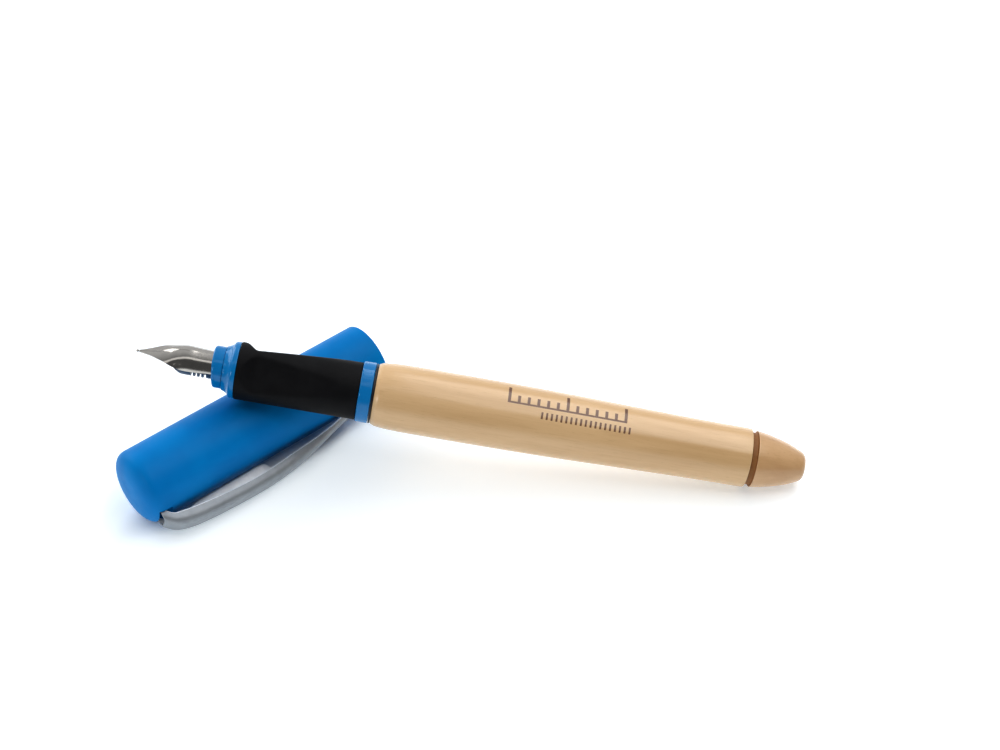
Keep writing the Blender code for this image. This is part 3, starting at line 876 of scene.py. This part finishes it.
def far_from_cap(n):
    """Distance over the floor from the cap and its clip, as a share of an oval round them."""
    half_length, half_width = 32.0, 7.0
    along = Vector((CAP.col[0].x, CAP.col[0].y, 0.0)).normalized()
    side = Vector((along.y, -along.x, 0.0))
    under = CAP.translation + (along * 31.0 + side * 2.0) * MM
    under.z = 0.0
    spot = n.mapped(axis_frame(along, (0, 0, 1), under), (1 / half_length, 1 / half_width, 0.0))
    return n.add("ShaderNodeVectorMath", {0: spot}, operation="LENGTH").outputs["Value"]


def make_floor():
    """A pale table top that glows a little as painted light, so that shadows on it stay faint; the glow is
    left out under the cap and clip, which paints shade there.
    """
    mesh = bpy.data.meshes.new("floor")
    half = 3.0
    corners = [(-half, -half, 0), (half, -half, 0), (half, half, 0), (-half, half, 0)]
    mesh.from_pydata(corners, [], [(0, 1, 2, 3)])
    n = Nodes("pale_floor")
    n.set(Base_Color=colour(0.84, 0.85, 0.86), Roughness=0.8, Specular_IOR_Level=0.1)
    # painted light: the glow fills the floor's shadows; it falls to nothing under the cap and clip, which
    # paints shade there
    glow = n.ramp(far_from_cap(n), 0.0, 0.42, 0.8, 1.25)
    n.set(Emission_Color=colour(0.86, 0.95, 1.0), Emission_Strength=glow)
    mesh.materials.append(n.material)
    floor = bpy.data.objects.new("floor", mesh)
    bpy.context.collection.objects.link(floor)
    floor.location = (0, 0, -0.02 * MM)


def soft_light(name, place, towards, size, radiance):
    """Rectangular lamp of a given brightness, whatever its size."""
    data = bpy.data.lights.new(name, "AREA")
    data.shape = "RECTANGLE"
    data.size, data.size_y = size
    data.energy = radiance * math.pi * size[0] * size[1]
    lamp = bpy.data.objects.new(name, data)
    bpy.context.collection.objects.link(lamp)
    lamp.location = place
    lamp.rotation_euler = Vector(towards).to_track_quat("-Z", "Y").to_euler()


def make_room():
    """Pale room light from above and behind, dark on the camera's side, with a light horizon."""
    world = bpy.data.worlds.new("studio")
    bpy.context.scene.world = world
    world.use_nodes = True
    nodes, links = world.node_tree.nodes, world.node_tree.links
    looking = nodes.new("ShaderNodeTexCoord").outputs["Generated"]
    above = nodes.new("ShaderNodeVectorMath")
    above.operation = "DOT_PRODUCT"
    above.inputs[1].default_value = ROOM_BRIGHTEST
    links.new(looking, above.inputs[0])
    level = nodes.new("ShaderNodeMapRange")
    level.interpolation_type = "SMOOTHSTEP"
    for socket, value in ((1, -0.3), (2, 1.0), (3, ROOM_DARK), (4, ROOM_BRIGHT)):
        level.inputs[socket].default_value = value
    links.new(above.outputs["Value"], level.inputs[0])
    split = nodes.new("ShaderNodeSeparateXYZ")
    links.new(looking, split.inputs[0])
    horizon = nodes.new("ShaderNodeMapRange")
    horizon.interpolation_type = "SMOOTHSTEP"
    for socket, value in ((1, 0.0), (2, 0.2), (3, ROOM_HORIZON), (4, 0.0)):
        horizon.inputs[socket].default_value = value
    links.new(split.outputs["Z"], horizon.inputs[0])
    both = nodes.new("ShaderNodeMath")
    both.operation = "MAXIMUM"
    links.new(level.outputs[0], both.inputs[0])
    links.new(horizon.outputs[0], both.inputs[1])
    back = nodes["Background"]
    back.inputs["Color"].default_value = colour(0.95, 0.97, 1.0)
    links.new(both.outputs[0], back.inputs["Strength"])


def make_camera():
    data = bpy.data.cameras.new("camera")
    data.sensor_width = 36.0
    data.lens = CAMERA_LENS
    data.clip_start, data.clip_end = 0.01, 20.0
    camera = bpy.data.objects.new("camera", data)
    bpy.context.collection.objects.link(camera)
    camera.location = Vector(CAMERA_TARGET) + Vector(CAMERA_OFFSET)
    camera.rotation_euler = (-Vector(CAMERA_OFFSET)).to_track_quat("-Z", "Y").to_euler()
    bpy.context.scene.camera = camera


def main():
    mats = make_materials()
    makers = (
        make_tail_plug, make_barrel, make_bush, make_collar, make_section_core, make_grip, make_nib_housing,
        make_feed, make_nib, make_tipping, make_cap_shell, make_inner_cap, make_clip,
    )
    for make in makers:
        make(mats)
    finish_hidden(mats)
    make_floor()
    make_room()
    for lamp in LAMPS:
        soft_light(*lamp)
    make_camera()
    bpy.context.scene.view_settings.view_transform = "Standard"
    bpy.context.scene.view_settings.gamma = 0.85


main()
